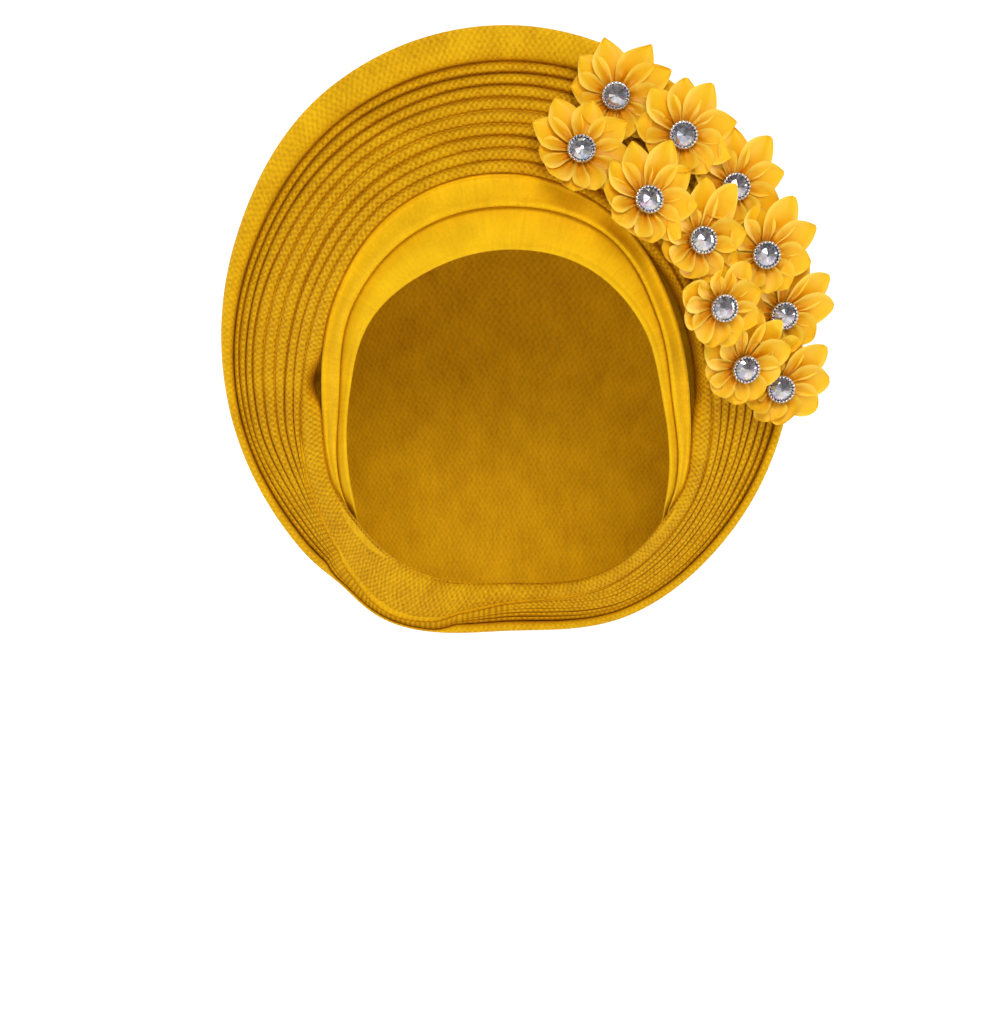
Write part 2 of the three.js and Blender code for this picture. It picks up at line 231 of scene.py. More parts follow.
def shelf_y(x, z):
    """Depth of the surface under the flowers: the pleats' crests, rising to the top of the outer fold."""
    up = z - FACE_AXIS_Z
    s = section(np.degrees(np.arctan2(x, up)))
    r = np.hypot(x, up)
    rise = front_y(s, (s["brim"] + s["rim"]) / 2) - roll_foot(s) + ROLL_FRONT
    return front_y(s, r) - rise * smoothstep(r, s["brim"] - SHELF_RISE, s["brim"] + 2)


def place(clock, r, y, axis_z=FACE_AXIS_Z):
    """Points at clock angles, radii and depths, in millimetres."""
    angle = np.radians(clock)
    r, y = np.broadcast_arrays(r, y)
    return np.stack([r * np.sin(angle), y, axis_z + r * np.cos(angle)], -1)


def wave(clock, count, size):
    """A slow, seeded waver round the loop."""
    angle = np.radians(clock)
    turns = rng.integers(2, 9, count)
    phases = rng.uniform(0, 2 * math.pi, count)
    return size * sum(np.sin(angle * n + p) for n, p in zip(turns, phases)) / math.sqrt(count)


# Meshes

def make_object(name, points, faces, material, nodes, smooth_angle=None):
    """A piece in metres that rides with the part and stands for its solids."""
    mesh = bpy.data.meshes.new(name)
    mesh.from_pydata((np.asarray(points) * MM).tolist(), [], faces)
    mesh.materials.append(material)
    if smooth_angle is not None:
        mesh.polygons.foreach_set("use_smooth", np.ones(len(mesh.polygons), bool))
        mesh.set_sharp_from_angle(angle=math.radians(smooth_angle))
    obj = bpy.data.objects.new(name, mesh)
    bpy.context.scene.collection.objects.link(obj)
    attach(obj, "root")
    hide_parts(*nodes)
    return obj


def set_colours(obj, name, colours):
    """Colours of the face corners, for the material to read."""
    layer = obj.data.color_attributes.new(name, "FLOAT_COLOR", "CORNER")
    layer.data.foreach_set("color", np.asarray(colours, np.float32).ravel())


def set_uv(obj, name, coordinates):
    layer = obj.data.uv_layers.new(name=name)
    layer.data.foreach_set("uv", np.asarray(coordinates, np.float32).ravel())


def signed_volume(points, faces):
    quads = np.array(faces)
    a, b, c, d = (points[quads[:, k]] for k in range(4))
    return np.einsum("ij,ij", np.cross(a, b), c) + np.einsum("ij,ij", np.cross(a, c), d)


def loft(name, points, panels, crests, weave_and_painted_shade_levels, is_loop, material, flat_uv=None):
    """A closed cloth wall through sections.

    points holds a closed profile at each station. panels gives each profile segment's strip of
    cloth, crests the profile point along which that strip is measured, so that the weave keeps its
    real size, and for each strip a level that sets how strongly the weave shows on it and how much
    darker the cloth is painted there, as painted shade that is strongest on the pleats. flat_uv gives
    each point its own place on the flat cloth instead.
    """
    stations, count = points.shape[:2]
    spans = stations if is_loop else stations - 1
    i, j = np.meshgrid(np.arange(spans), np.arange(count), indexing="ij")
    next_i = (i + 1) % stations
    next_j = (j + 1) % count
    corners = [(i, j), (i, next_j), (next_i, next_j), (next_i, j)]
    faces = np.stack([(a * count + b).ravel() for a, b in corners], -1)
    flat = points.reshape(-1, 3)
    flip = signed_volume(flat - flat.mean(0), faces) < 0
    if flip:
        faces = faces[:, ::-1]

    closed = np.concatenate([points, points[:1]]) if is_loop else points
    along = np.linalg.norm(np.diff(closed, axis=0), axis=2)
    along = np.concatenate([np.zeros((1, count)), np.cumsum(along, 0)])
    around = np.concatenate([closed, closed[:, :1]], 1)
    across = np.linalg.norm(np.diff(around, axis=1), axis=2)
    across = np.concatenate([np.zeros((len(closed), 1)), np.cumsum(across, 1)], 1)
    crest_of = np.array([crests[p] for p in panels])
    u = along[:, crest_of]
    v_start = across[:, :-1] - across[:, crest_of]
    v_end = across[:, 1:] - across[:, crest_of]
    a, b = slice(0, spans), slice(1, spans + 1)
    uv = np.stack([
        np.stack([u[a], v_start[a]], -1), np.stack([u[a], v_end[a]], -1),
        np.stack([u[b], v_end[b]], -1), np.stack([u[b], v_start[b]], -1),
    ], 2).reshape(-1, 4, 2)
    if flat_uv is not None:
        uv = np.stack([flat_uv[corner].reshape(-1, 2) for corner in corners], 1)
    if flip:
        uv = uv[:, ::-1]
    faces = faces.tolist()
    uv = uv.reshape(-1, 2)
    # Each strip's level sets both its weave and its painted shade.
    weave_and_painted_shade = np.repeat(np.tile([weave_and_painted_shade_levels[p] for p in panels], spans), 4)
    if not is_loop:
        first = list(range(count))
        last = [(stations - 1) * count + k for k in range(count)]
        faces += [first[::-1], last] if not flip else [first, last[::-1]]
        uv = np.concatenate([uv, np.zeros((2 * count, 2))])
        weave_and_painted_shade = np.concatenate([weave_and_painted_shade, np.zeros(2 * count)])
    obj = make_object(f"gele_{name}", flat, faces, material, [name], 50)
    set_uv(obj, "weave", uv * MM)
    set_colours(obj, "weave_and_painted_shade", np.stack([weave_and_painted_shade, weave_and_painted_shade, weave_and_painted_shade, np.ones(len(weave_and_painted_shade))], -1))
    return obj


def arch(count, power):
    """Share across and height of a rounded fold, from one foot to the other."""
    angle = np.linspace(0, math.pi, count)
    c, s = np.cos(angle), np.sin(angle)
    across = 0.5 * (1 - np.sign(c) * np.abs(c) ** (2 / power))
    return across, np.clip(s, 0, 1) ** (2 / power)


def hollows(clock):
    """Depth, from 0 to 1, of the pit at the left and the long hollow at the right, inside the fan."""
    left_pit = np.exp(-((clock - LEFT_PIT_ANGLE) / 6) ** 2)
    right_hollow = np.exp(-((clock - RIGHT_HOLLOW_ANGLE) / 24) ** 4)
    return left_pit + right_hollow


def fan_edges(clock, s):
    """Radii of the pleats' edges. Low on the left the inner pleats crowd in under the broad tail."""
    crowding = np.where(clock < 0, smoothstep(-clock, 95, 135), smoothstep(clock, 150, 180))
    power = 1 + 1.3 * crowding
    uneven = np.exp(-((clock + 88) / 45) ** 2) * (1 - crowding)
    edges = [s["fold"]]
    for k, shift in enumerate(LEFT_SHIFTS):
        share = (k / (PLEATS - 1)) ** power + shift * uneven
        waver = wave(clock, 3, 0.3) * (1 - crowding) if k < PLEATS - 1 else 0
        edges.append(lerp(s["fold"], s["brim"], lerp(s["tail"], 1, share)) + waver)
    side = np.abs(clock)
    cover = 2.0 * smoothstep(side, 112, 130) * (1 - smoothstep(side, 150, 178))
    opened = np.minimum(HOLLOW_WIDTH * hollows(clock), 0.55 * (edges[1] - edges[0]))
    edges[0] = edges[0] + opened - cover
    return edges


def fan_piece(material):
    """Rolled pleats, the broad outer fold over the rim, and the hem that runs back over the crown."""
    stations, per_pleat, per_roll = 360, 12, 21
    clock = np.linspace(-180, 180, stations, endpoint=False)[:, None]
    s = section(clock)
    edges = fan_edges(clock, s)
    radii, depths, panels, crests, floors, middles = [], [], [], [], [], []
    share, height = arch(per_pleat - 1, 1.9)
    hollow = hollows(clock)
    for k in range(PLEATS):
        width = edges[k + 1] - edges[k]
        fullness = smoothstep(width, 0.4, 2.4)
        (depth, left), (_, right) = GAPS[k], GAPS[k + 1]
        sink = HOLLOW_SINK * hollow if k == 0 else 0 * hollow
        floor = np.minimum(depth, 0.95 * width) * fullness + RECESSES[k] + sink
        shoulder = np.minimum(0.5 * width, 2.5) * fullness
        r = edges[k] + lerp(left, 1 - right, share) * width
        rise = wave(clock, 3, 0.3) * fullness
        lie = RECESSES[k] + shoulder * (1 - height) - rise * height + sink * (1 - share) ** 2
        radii += [edges[k], r]
        depths += [front_y(s, edges[k]) + floor, front_y(s, r) + lie]
        panels += [k] * per_pleat
        crests.append(k * per_pleat + per_pleat // 2)
        floors.append(floor)
        middles.append(RECESSES[k] + 0.25 * sink)
    half = (s["rim"] - s["brim"]) / 2
    middle = s["brim"] + half
    bulge = np.minimum(ROLL_FRONT, 1.7 * half)
    foot = roll_foot(s)
    share, height = arch(per_roll, 2.25)
    radii += [s["brim"], s["brim"] + 0.4 + share * (2 * half - 0.4)]
    depths += [front_y(s, s["brim"]) + GAPS[-1][0], foot - bulge * height]
    back = np.linspace(0, 1, 7)[1:]
    radii.append(s["rim"] - HEM_DROP * back ** 1.5)
    depths.append(foot + HEM_BACK * back)
    crests.append(PLEATS * per_pleat + per_roll // 2)
    panels += [PLEATS] * (1 + per_roll + 6)
    inset = np.minimum(CLOTH, half * 0.6)
    inner = np.linspace(1, 0, 4)
    radii.append(s["rim"] - inset - HEM_DROP * inner ** 1.5)
    depths.append(foot + HEM_BACK * inner)
    share, height = arch(9, 2)
    radii.append(middle + (half - inset) * (1 - 2 * share[1:-1]))
    depths.append(foot - (bulge - inset) * height[1:-1])
    for k in reversed(range(PLEATS)):
        next_floor = floors[k + 1] if k + 1 < PLEATS else GAPS[-1][0]
        for share, depth in ((1.0, next_floor), (0.5, middles[k])):
            r = lerp(edges[k], edges[k + 1], share)
            radii.append(r)
            depths.append(front_y(s, r) + CLOTH + depth)
    radii += [edges[0] + CLOTH, edges[0] + CLOTH, edges[0]]
    inner_floor = front_y(s, edges[0]) + floors[0]
    inner_back = inner_floor + EDGE_RETURN + 0.4 * HOLLOW_BACK * hollow
    depths += [inner_floor + CLOTH, inner_back, inner_back]
    total = sum(r.shape[1] for r in radii)
    crests.append(crests[0])
    panels += [PLEATS + 1] * (total - len(panels))
    points = place(clock, np.concatenate(radii, 1), np.concatenate(depths, 1))
    # Pleats get the full weave and the darkest painted shade, the outer fold with its hem less, the back of
    # the cloth less still.
    weave_and_painted_shade_levels = [1.0] * PLEATS + [0.65, 0.5]
    return loft("pleated_fan", points, panels, crests, weave_and_painted_shade_levels, True, material)


def rolled_edge(s, low, roll, set_back):
    """Radii and depths of a rolled lower edge, from the back of the cloth round to its front."""
    turn = np.radians(np.linspace(-80, 80, 9))
    base = front_y(s, low + roll) + set_back
    return low + roll - roll * np.cos(turn), base - roll * np.sin(turn)


def forehead_band_piece(material):
    """The smooth band over the brow, with a narrow hem, running up under the fold band."""
    clock = np.linspace(-BAND_ENDS, BAND_ENDS, 269)[:, None]
    s = brow_section(clock)
    low = s["face"]
    width = s["band"] - low
    roll = np.minimum(0.8, 0.22 * width)
    hem_r, hem_y = rolled_edge(s, low, roll, BAND_SET_BACK)
    share = np.linspace(0, 1, 17)[1:]
    across = share * (width - roll)
    groove = 0.45 * np.exp(-((across - 1.7) / 0.6) ** 2) * np.minimum(1, width / 10)
    swell = 1.1 * np.sin(math.pi * share) ** 0.7 * np.minimum(1, width / 8)
    r = low + roll + across
    y = front_y(s, r) + BAND_SET_BACK - swell - roll * np.exp(-(across / 1.4) ** 2) + groove
    top = s["band"] + np.minimum(2.5, 0.45 * width)
    radii = [hem_r, r, top]
    depths = [hem_y, y, front_y(s, top) + BAND_SET_BACK + 0.2]
    front = sum(x.shape[1] for x in radii)
    for share in (1.0, 0.6, 0.3, 0.0):
        r = lerp(low + 2 * roll, top, share)
        radii.append(r)
        depths.append(front_y(s, r) + BAND_SET_BACK + CLOTH + 0.3 - 0.4 * np.sin(math.pi * share))
    total = sum(x.shape[1] for x in radii)
    points = place(clock, np.concatenate(radii, 1), np.concatenate(depths, 1))
    panels = [0] * front + [1] * (total - front)
    crests = [front // 2] * 2
    return loft("forehead_band", points, panels, crests, [0.05, 0.05], False, material)


def fold_band_piece(material):
    """The doubled band above it: a fat rolled lower edge, a hollow middle, and a bead along the fan."""
    clock = np.linspace(-BAND_ENDS, BAND_ENDS, 269)[:, None]
    s = brow_section(clock)
    low = s["band"]
    width = s["fold"] - low
    roll = np.minimum(1.5, 0.24 * width)
    fullness = np.minimum(1, width / 8)
    hem_r, hem_y = rolled_edge(s, low, roll, FOLD_SET_BACK)
    share = np.linspace(0, 1, 21)[1:]
    across = share * (width - roll)
    r = low + roll + across
    hollow = 0.7 * np.sin(math.pi * share) ** 0.7 * fullness
    crest = roll * np.exp(-(across / (1.1 * roll)) ** 2)
    bead = 1.3 * fullness * np.exp(-(((1 - share) * (width - roll) - 0.9) / 0.7) ** 2)
    radii = [hem_r, r]
    depths = [hem_y, front_y(s, r) + FOLD_SET_BACK + hollow - crest - bead]
    edge = front_y(s, s["fold"]) + FOLD_SET_BACK
    hollow = hollows(clock)
    tuck = np.minimum(6.0, 0.6 * width) + 4.0 * hollow
    floor = (7.0 + HOLLOW_BACK * hollow) * fullness
    for outwards, back in ((0.1, 0.3), (0.3, 0.7), (1.0, 0.9)):
        radii.append(s["fold"] + outwards * np.minimum(1, tuck))
        depths.append(edge + back * floor)
    radii += [s["fold"] + tuck, s["fold"] + tuck]
    depths += [edge + floor, edge + floor + CLOTH]
    front = sum(x.shape[1] for x in radii) - 1
    for outwards, back in ((0.3, 0.95), (-1.2, 0.4)):
        radii.append(s["fold"] + outwards * np.minimum(1, tuck / 3))
        depths.append(edge + back * floor + CLOTH)
    for share in (0.5, 0.0):
        r = lerp(low + 2 * roll, s["fold"] - 1.5, share)
        radii.append(r)
        depths.append(front_y(s, r) + FOLD_SET_BACK + CLOTH + 0.5 * np.sin(math.pi * share))
    total = sum(x.shape[1] for x in radii)
    points = place(clock, np.concatenate(radii, 1), np.concatenate(depths, 1))
    panels = [0] * front + [1] * (total - front)
    crests = [front // 2] * 2
    return loft("fold_band", points, panels, crests, [0.1, 0.1], False, material)


def crown_piece(material):
    """The cloth that closes the crown and the back of the head, with soft gathers under the outer fold."""
    stations, rings = 240, 49
    clock = np.linspace(-180, 180, stations, endpoint=False)[:, None]
    s = section(clock)
    wall = np.minimum(1.8, (s["rim"] - s["brim"]) * 0.3)
    start_y = roll_foot(s) + HEM_BACK - CROWN_LAP
    start_r = s["rim"] - HEM_DROP * (1 - CROWN_LAP / HEM_BACK) - wall - 0.6
    share = np.linspace(0, 1, rings)
    turn = share * math.pi / 2
    soft = wave(clock, 9, 1.0) * np.sin(math.pi * share) ** 1.2
    fine = sum(wave(clock * k, 2, 0.35) for k in (4, 5)) * np.exp(-((share - 0.16) / 0.14) ** 2) * share

    def surface(inset):
        r = np.maximum((start_r - inset) * np.cos(turn) + soft + fine, 0.02)
        y = lerp(start_y, CROWN_BACK_Y, np.sin(turn)) - inset * np.sin(turn)
        axis_z = lerp(FACE_AXIS_Z, CROWN_BACK_Z, 1 - np.cos(turn))
        return place(clock, r, y, axis_z)

    outer, inner = surface(0), surface(CROWN_CLOTH)
    points = np.concatenate([outer, inner[:, ::-1]], 1)
    # The weave is laid out flat round the rearmost point.
    reach = np.linalg.norm(np.diff(outer, axis=1), axis=2)[:, ::-1].cumsum(1)[:, ::-1]
    reach = np.concatenate([reach, np.zeros((stations, 1))], 1)
    flat = np.stack([reach * np.sin(np.radians(clock)), reach * np.cos(np.radians(clock))], -1)
    flat = np.concatenate([flat, flat[:, ::-1]], 1)
    panels = [0] * (2 * rings)
    return loft("back_crown", points, panels, [0], [0.5], True, material, flat)


# Flowers

def flower_frame(index):
    """Origin, right, up and outward directions of a flower on the fan."""
    x, z, level, _ = FLOWERS[index]
    delta = 2.0
    slope_x = (shelf_y(x + delta, z) - shelf_y(x - delta, z)) / (2 * delta)
    slope_z = (shelf_y(x, z + delta) - shelf_y(x, z - delta)) / (2 * delta)
    normal = Vector((slope_x, -1, slope_z)).normalized()
    right = (Vector((1, 0, 0)) - normal * normal.x).normalized()
    up = normal.cross(right)
    lift = FIRST_LEVEL + level * LEVEL_STEP
    origin = Vector((x, float(shelf_y(x, z)) - lift, z))
    return origin, right, up, normal, lift


def petal_reach(index, angle):
    """How far a petal may reach before it comes to the centre of another flower."""
    origin, right, up, _, _ = flower_frame(index)
    reach = PETAL_REACH + PETAL_LEAN * math.cos(angle - LEAN_ANGLE)
    for other, (x, z, _, _) in enumerate(FLOWERS):
        if other == index:
            continue
        offset = Vector((x, float(shelf_y(x, z)), z)) - origin
        along = offset.dot(right) * math.cos(angle) + offset.dot(up) * math.sin(angle)
        aside = abs(offset.dot(right) * math.sin(angle) - offset.dot(up) * math.cos(angle))
        over = COVERS.get((index + 1, other + 1))
        if over is not None and along > 0 and aside < CUP_RADIUS:
            return along - over
        if along > 0 and aside < PETAL_CLEAR + 4:
            reach = min(reach, max(along - PETAL_CLEAR, 10))
    return reach


def stones_below(index):
    """Top centres of the stones that this flower's petals may lie over."""
    tops = []
    for other, (_, _, level, _) in enumerate(FLOWERS):
        if level < FLOWERS[index][2]:
            origin, _, _, normal, _ = flower_frame(other)
            tops.append(origin + normal * (STONE_SEAT + STONE_TOP))
    return tops


def petal_surface(index, angle, reach, style, tops):
    """Top and bottom of one folded ribbon petal, as grids of points along and across it."""
    origin, right, up, _, lift = flower_frame(index)
    along = np.linspace(0, 1, PETAL_ROWS)[:, None]
    across = np.linspace(-1, 1, PETAL_COLUMNS)[None, :]
    outline = lerp(np.array(POINTED_PETAL), np.array(BLUNT_PETAL), style["blunt"])
    half = np.interp(along, PETAL_SHARES, outline) * PETAL_HALF_WIDTH * min(1, 0.35 + 0.65 * reach / 17)
    curl = style["curl"]
    run = along * (1 + 0.5 * curl) - 0.75 * curl * along ** 2
    skew = 0.25 * style["skew"] * across * half * along
    rho = PETAL_START + (reach - PETAL_START) * run + skew
    tau = across * half + style["bend"] * along ** 2
    cup = style["cup"] * smoothstep(along, 0.05, 0.5) * (1 - 0.5 * along ** 3)
    tucks = 0.9 * np.exp(-((along - 0.12) / 0.2) ** 2) * np.cos(3 * math.pi * across + style["phase"])
    crease = -0.9 * np.exp(-(across / 0.2) ** 2) * (1 - smoothstep(along, 0.2, 0.6))
    pinwheel = 1.3 * across * np.sin(math.pi * along) ** 0.8
    rise = style["rise"] * along ** 1.5 + 0.6 * np.sin(math.pi * along) + PETAL_CURL * curl * along ** 2
    height = lift + 0.7 + rise + cup * np.abs(across) ** 2.4 + tucks + crease + pinwheel
    a = rho * math.cos(angle) - tau * math.sin(angle)
    b = rho * math.sin(angle) + tau * math.cos(angle)
    x = origin.x + a * right.x + b * up.x
    z = origin.z + a * right.z + b * up.z
    shelf = shelf_y(x, z)
    for top in tops:
        distance = np.hypot(x - top.x, z - top.z)
        needed = float(shelf_y(top.x, top.z)) - top.y + 1.0 - 0.8 * np.maximum(distance - CUP_RADIUS, 0)
        height = np.where(distance < 16, np.maximum(height, needed), height)
    upper = np.stack([x, shelf - height, z], -1)
    lower = np.stack([x, shelf - height + RIBBON, z], -1)
    return upper, lower


def shell(upper, lower):
    """Vertices and outward faces of a thin closed sheet between two grids."""
    rows, columns = upper.shape[:2]
    points = np.concatenate([upper.reshape(-1, 3), lower.reshape(-1, 3)])
    grid = np.arange(rows * columns).reshape(rows, columns)
    under = grid + rows * columns
    quads = np.stack([grid[:-1, :-1], grid[1:, :-1], grid[1:, 1:], grid[:-1, 1:]], -1).reshape(-1, 4)
    faces = [quads, quads[:, ::-1] + rows * columns]
    ring = np.concatenate([grid[0, :-1], grid[:-1, -1], grid[-1, :0:-1], grid[:0:-1, 0]])
    low = np.concatenate([under[0, :-1], under[:-1, -1], under[-1, :0:-1], under[:0:-1, 0]])
    faces.append(np.stack([ring, np.roll(ring, -1), np.roll(low, -1), low], -1))
    faces = np.concatenate(faces)
    if signed_volume(points - points.mean(0), faces) < 0:
        faces = faces[:, ::-1]
    return points, faces


def flower_piece(index, material):
    """Pointed, cupped petals of folded satin ribbon round a short stem on the fan."""
    origin, right, up, _, lift = flower_frame(index)
    tops = stones_below(index)
    points, faces, uv = [], [], []
    count = 0
    shares = np.linspace(0, 1, PETAL_ROWS), np.linspace(0, 1, PETAL_COLUMNS)
    grid_uv = np.stack(np.meshgrid(*shares, indexing="ij"), -1)
    vertex_uv = np.concatenate([grid_uv.reshape(-1, 2)] * 2)
    for petal in range(PETALS):
        turn = FLOWERS[index][3] + (petal + 0.5) * 360 / PETALS
        angle = math.radians(turn) + rng.uniform(-0.08, 0.08)
        lean = math.cos(angle - LEAN_ANGLE)
        style = {
            "cup": rng.uniform(2.6, 4.4),
            "rise": rng.uniform(0.6, 1.6) + 1.3 * (petal % 2) - 1.2 * lean,
            "curl": max(-lean, 0) * rng.uniform(0.3, 1.0),
            "bend": rng.uniform(-1.8, 1.8),
            "skew": rng.uniform(-1, 1),
            "phase": rng.uniform(0, 2 * math.pi),
            "blunt": rng.uniform(0, 0.25) + 0.05 * index,
        }
        reach = petal_reach(index, angle) * rng.uniform(0.93, 1.03)
        new_points, new_faces = shell(*petal_surface(index, angle, reach, style, tops))
        points.append(new_points)
        faces.append(new_faces + count)
        uv.append(vertex_uv[new_faces].reshape(-1, 2))
        count += len(new_points)
    stem_points, stem_faces = stem(origin, right, up, lift)
    points.append(stem_points)
    faces.append(stem_faces + count)
    # The stem reads one corner of the petal map, so it takes the painted base shade and painted edge
    # highlight there.
    uv.append(np.full((stem_faces.size, 2), 0.05))
    node = f"flower_{index + 1:02d}"
    points, faces = np.concatenate(points), np.concatenate(faces).tolist()
    obj = make_object(f"gele_{node}", points, faces, material, [node], 50)
    set_uv(obj, "petal", np.concatenate(uv))
    return obj


def tube_faces(rings, sides):
    """Wall faces through rings of points."""
    faces = []
    for ring in range(rings - 1):
        low, high = ring * sides, (ring + 1) * sides
        for k in range(sides):
            n = (k + 1) % sides
            faces.append([low + k, low + n, high + n, high + k])
    return faces


def stem(origin, right, up, lift):
    """The bound foot of a flower, down to just clear of the fan."""
    sides = 16
    turn = np.linspace(0, 2 * math.pi, sides, endpoint=False)
    rings = []
    for radius, share in ((0.4, 0.0), (4.2, 0.0), (4.6, 0.5), (4.2, 1.0), (0.4, 1.05)):
        a, b = radius * np.cos(turn), radius * np.sin(turn)
        x = origin.x + a * right.x + b * up.x
        z = origin.z + a * right.z + b * up.z
        height = lerp(0.6, lift + 0.6, share)
        rings.append(np.stack([x, shelf_y(x, z) - height, z], -1))
    points = np.concatenate(rings)
    faces = tube_faces(len(rings), sides)
    last = (len(rings) - 1) * sides
    for k in range(1, sides // 2):
        faces.append([k - 1, k, sides - 1 - k, sides - k])
        faces.append([last + sides - k, last + sides - 1 - k, last + k, last + k - 1])
    faces = np.array(faces)
    if signed_volume(points - points.mean(0), faces) < 0:
        faces = faces[:, ::-1]
    return points, faces


# Rhinestones

def seat_points(index, local):
    """Points of a stone's own frame, set on its flower and turned a little more to the front."""
    origin, _, _, normal, _ = flower_frame(index)
    facing = (normal + STONE_FACING * Vector((0, -1, 0))).normalized()
    right = (Vector((1, 0, 0)) - facing * facing.x).normalized()
    basis = np.array([right, facing.cross(right), facing])
    return np.array(origin + normal * STONE_SEAT) + np.asarray(local) @ basis


def lathe(profile, sides):
    """Points and wall faces of a round form from radii and heights."""
    turn = np.linspace(0, 2 * math.pi, sides, endpoint=False)
    circle = np.stack([np.cos(turn), np.sin(turn), np.zeros(sides)], -1)
    points = np.concatenate([r * circle + (0, 0, h) for r, h in profile])
    return points, tube_faces(len(profile), sides)


def setting_piece(index, material):
    """A plated cup with a collar of tiny beads round the stone."""
    wall = ((5.3, 0), (CUP_RADIUS - 0.1, 0.5), (CUP_RADIUS, 1.6), (5.4, 2.3))
    lip = ((4.9, 2.4), (4.7, 2.0), (4.6, 1.1))
    profile = ((0.3, 0), *wall, *lip, (0.3, 1.1))
    sides = 36
    points, faces = lathe(profile, sides)
    last = (len(profile) - 1) * sides
    faces += [list(range(sides))[::-1], [last + k for k in range(sides)]]
    bead_sides = 10
    slices = np.radians((-86, -60, -30, 0, 30, 60, 86))
    bead, bead_faces = lathe(BEAD_RADIUS * np.stack([np.cos(slices), np.sin(slices)], -1), bead_sides)
    top = (len(slices) - 1) * bead_sides
    bead_faces += [list(range(bead_sides))[::-1], [top + k for k in range(bead_sides)]]
    groups = [points]
    count = len(points)
    for k in range(BEADS):
        angle = 2 * math.pi * k / BEADS
        groups.append(bead + (BEAD_RING * math.cos(angle), BEAD_RING * math.sin(angle), BEAD_HEIGHT))
        faces += [[v + count for v in face] for face in bead_faces]
        count += len(bead)
    points = seat_points(index, np.concatenate(groups))
    node = f"stone_cup_{index + 1:02d}"
    return make_object(f"gele_{node}", points, faces, material, [node], 40)


def stone_piece(index, material):
    """A round faceted stone: girdle, two rows of long crown facets and a tiny table."""
    sides = 16
    step = 2 * math.pi / sides
    rings = ((3.5, 1.5, 0), (4.4, 2.3, 0), (4.35, 2.55, 0), (2.9, 3.5, 0.5), (0.6, 4.25, 0))
    points = []
    for radius, height, shift in rings:
        for k in range(sides):
            angle = (k + shift) * step
            points.append((radius * math.cos(angle), radius * math.sin(angle), height))
    faces = [list(range(sides))[::-1]]
    for ring in range(len(rings) - 1):
        low, high = ring * sides, (ring + 1) * sides
        for k in range(sides):
            n = (k + 1) % sides
            if ring < 2:
                faces.append([low + k, low + n, high + n, high + k])
            elif ring == 2:
                faces += [[low + k, low + n, high + k], [low + n, high + n, high + k]]
            else:
                faces += [[low + k, low + n, high + n], [low + k, high + n, high + k]]
    faces.append([(len(rings) - 1) * sides + k for k in range(sides)])
    node = f"rhinestone_{index + 1:02d}"
    obj = make_object(f"gele_{node}", seat_points(index, points), faces, material, [node])
    # Painted light: the lower facets are painted brighter and the upper ones darker, as for light from
    # above coming back off the foil; the random tones and pastel tints on top are painted glints.
    colours = []
    for face in faces:
        x, up, _ = np.mean([points[k] for k in face], 0)
        lit = 0.5 - 0.5 * math.sin(math.atan2(up, x))
        painted_tone = 0.3 + 0.4 * lit ** 1.5 + rng.uniform(-0.16, 0.2)
        painted_glint_tint = PAINTED_GLINT_TINTS[rng.choice(len(PAINTED_GLINT_TINTS), p=TINT_SHARES)]
        colours += [(*(max(painted_tone, 0.03) * np.array(painted_glint_tint)), 1.0)] * len(face)
    set_colours(obj, "painted_facet_light", colours)
    return obj


# Materials

class Graph:
    """Short calls for building a material's nodes."""

    def __init__(self, name):
        self.material = bpy.data.materials.new(name)
        self.material.use_nodes = True
        self.nodes = self.material.node_tree.nodes
        self.links = self.material.node_tree.links
        self.shader = self.nodes["Principled BSDF"]

    def node(self, kind, inputs=(), **settings):
        made = self.nodes.new(kind)
        for key, value in settings.items():
            setattr(made, key, value)
        for key, value in dict(inputs).items():
            self.feed(made.inputs[key], value)
        return made

    def feed(self, socket, value):
        if isinstance(value, bpy.types.NodeSocket):
            self.links.new(value, socket)
        else:
            socket.default_value = value

    def math(self, operation, a, b=0.0, c=0.0):
        return self.node("ShaderNodeMath", {0: a, 1: b, 2: c}, operation=operation).outputs[0]

    def wave(self, value, period):
        """A cosine of the value with a period, from -1 to 1."""
        return self.math("COSINE", self.math("MULTIPLY", value, 2 * math.pi / period))

    def ramp(self, factor, stops):
        made = self.node("ShaderNodeValToRGB", {0: factor})
        while len(made.color_ramp.elements) < len(stops):
            made.color_ramp.elements.new(0.5)
        for element, (position, colour) in zip(made.color_ramp.elements, stops):
            element.position = position
            element.color = (*colour, 1.0)
        return made.outputs[0]

    def mix(self, factor, a, b, blend="MIX"):
        made = self.node("ShaderNodeMix", data_type="RGBA", blend_type=blend)
        for socket, value in ((made.inputs[0], factor), (made.inputs[6], a), (made.inputs[7], b)):
            self.feed(socket, value)
        return made.outputs[2]

    def noise(self, coordinates, scale, detail=2.0):
        made = self.node("ShaderNodeTexNoise", {"Vector": coordinates, "Scale": scale, "Detail": detail})
        return made.outputs[0]

    def bump(self, height, strength, distance):
        made = self.node("ShaderNodeBump", {"Strength": strength, "Distance": distance, "Height": height})
        return made.outputs[0]


